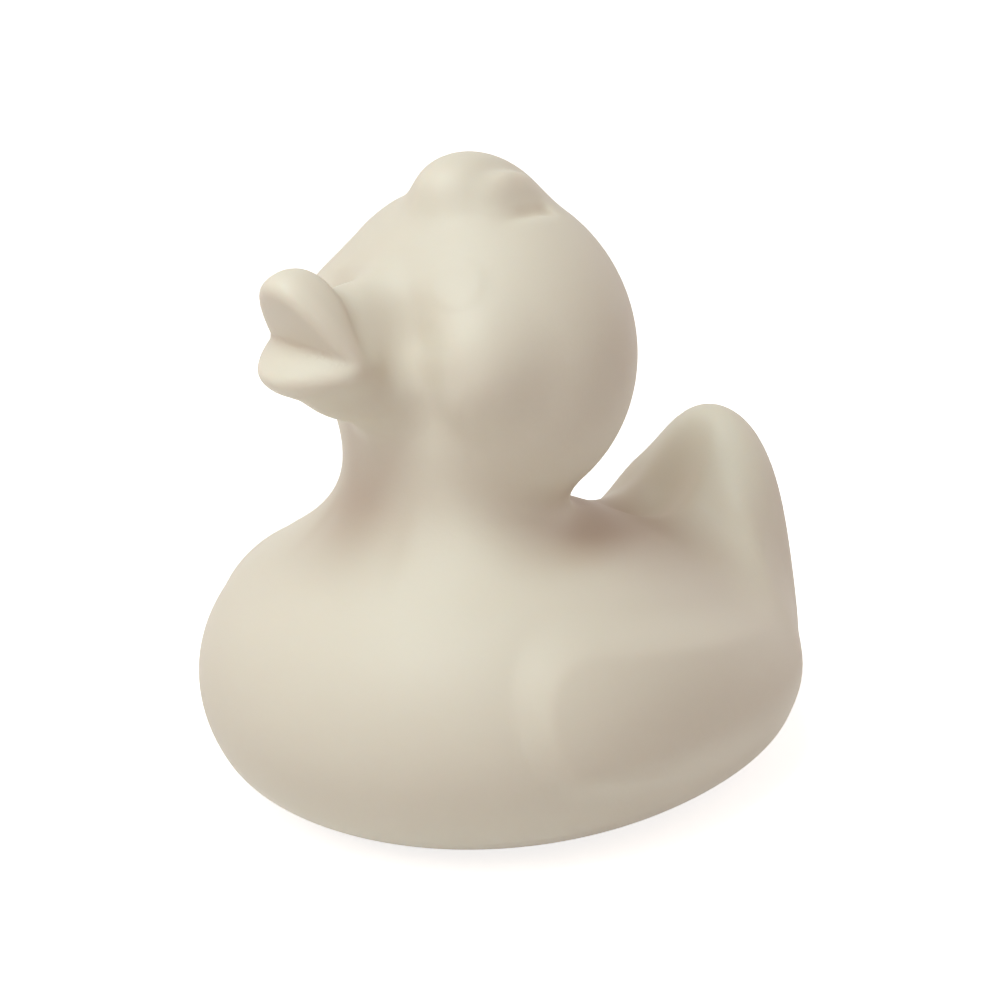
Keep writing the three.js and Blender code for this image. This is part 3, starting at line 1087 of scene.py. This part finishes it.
@dataclass(frozen=True)
class Studio:
    """Pale floor, soft lamps, and the camera at the photograph's viewing angle."""

    azimuth: float = 48
    elevation: float = 19
    distance: float = 0.6
    lens: float = 166.32
    target: tuple[float, float, float] = (0, -0.0029, 0.038)
    shift: tuple[float, float] = (-0.0026, 0.0063)
    sensor: float = 36
    clip: tuple[float, float] = (0.01, 10)
    lamps: tuple[Lamp, ...] = (
        Lamp("key", 10, 65, 0.8, 0.4, 3.9, (0.8, 1, 1)),
        Lamp("front", 10, 40, 0.8, 0.4, 0.9, (1, 0.9, 0.88)),
        Lamp("left", -75, 15, 0.8, 0.4, 0.4, (1, 0.9, 0.88)),
        Lamp("back", 180, 10, 0.8, 0.4, 0.5),
    )
    ambient: Colour = (0.345, 0.252, 0.216)
    floor_size: float = 3.0
    floor_shown: float = 0.8
    floor_bounce: float = 0.8
    floor_lift: float = 0.78

    def build(self) -> None:
        """Adds the camera, the lamps, the world and the floor."""
        self.camera()
        for lamp in self.lamps:
            lamp.add(Vector(self.target))
        self.world()
        self.floor()
        bpy.context.scene.view_settings.view_transform = "Standard"

    def camera(self) -> None:
        """Adds the camera, aimed at the target."""
        data = bpy.data.cameras.new("camera")
        data.lens, data.sensor_width = self.lens, self.sensor
        data.shift_x, data.shift_y = self.shift
        data.clip_start, data.clip_end = self.clip
        camera = bpy.data.objects.new("camera", data)
        out = direction(self.azimuth, self.elevation)
        camera.location = Vector(self.target) + out * self.distance
        camera.rotation_euler = out.to_track_quat("Z", "Y").to_euler()
        bpy.context.scene.collection.objects.link(camera)
        bpy.context.scene.camera = camera

    def world(self) -> None:
        """White where it is looked at, and a dimmer soft light on the object."""
        world = bpy.data.worlds.new("studio")
        world.use_nodes = True
        bpy.context.scene.world = world
        background = world.node_tree.nodes["Background"]
        background.inputs["Strength"].default_value = 1
        colour = seen_or_not(world.node_tree, self.ambient, grey(1))
        world.node_tree.links.new(colour, background.inputs["Color"])

    def floor(self) -> None:
        """Adds the floor.

        It is white where it is looked at, less the object's shadow, and a dimmer grey to other light.
        """
        half = self.floor_size / 2
        corners = np.array([(-half, -half, 0), (half, -half, 0), (half, half, 0), (-half, half, 0)])
        floor = add_mesh("floor", corners, np.array([[0, 1, 2, 3]]))
        made = bpy.data.materials.new("studio_floor")
        made.use_nodes = True
        tree = made.node_tree
        shader = tree.nodes["Principled BSDF"]
        shader.inputs["Roughness"].default_value = 1
        shader.inputs["Specular IOR Level"].default_value = 0
        shader.inputs["Emission Strength"].default_value = 1
        colour = seen_or_not(tree, grey(self.floor_bounce), grey(self.floor_shown))
        tree.links.new(colour, shader.inputs["Base Color"])
        tree.links.new(seen_or_not(tree, grey(0), grey(self.floor_lift)), shader.inputs["Emission Color"])
        floor.data.materials.append(made)
        floor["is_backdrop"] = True


class Seen(Enum):
    """Rays that show something to the camera: directly, mirrored or through glass."""

    CAMERA = "Is Camera Ray"
    MIRRORED = "Is Glossy Ray"
    THROUGH = "Is Transmission Ray"


def grey(value: float) -> Colour:
    """The same value in each channel."""
    return value, value, value


def seen_or_not(tree: bpy.types.NodeTree, other: Colour, seen: Colour) -> bpy.types.NodeSocket:
    """A colour for rays that the camera sees by, and another colour for all other rays.

    Args:
        tree: the node tree that gets the nodes.
        other: the colour for other rays.
        seen: the colour for rays that the camera sees by.

    Returns:
        The socket that gives the colour.
    """
    rays = tree.nodes.new("ShaderNodeLightPath")
    found = 0
    for kind in Seen:
        found = calculate(tree, "MAXIMUM", found, rays.outputs[kind.value])
    return mix_colours(tree, found, other, seen)


def main() -> None:
    """Builds the studio and the duck."""
    logging.basicConfig(level=logging.INFO, format="%(message)s")
    low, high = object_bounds()
    Studio().build()
    duck = Duck().build(low, high, Vinyl())
    LOG.info("%s: %d points, %d faces", duck.name, len(duck.data.vertices), len(duck.data.polygons))


if __name__ == "__main__":
    main()
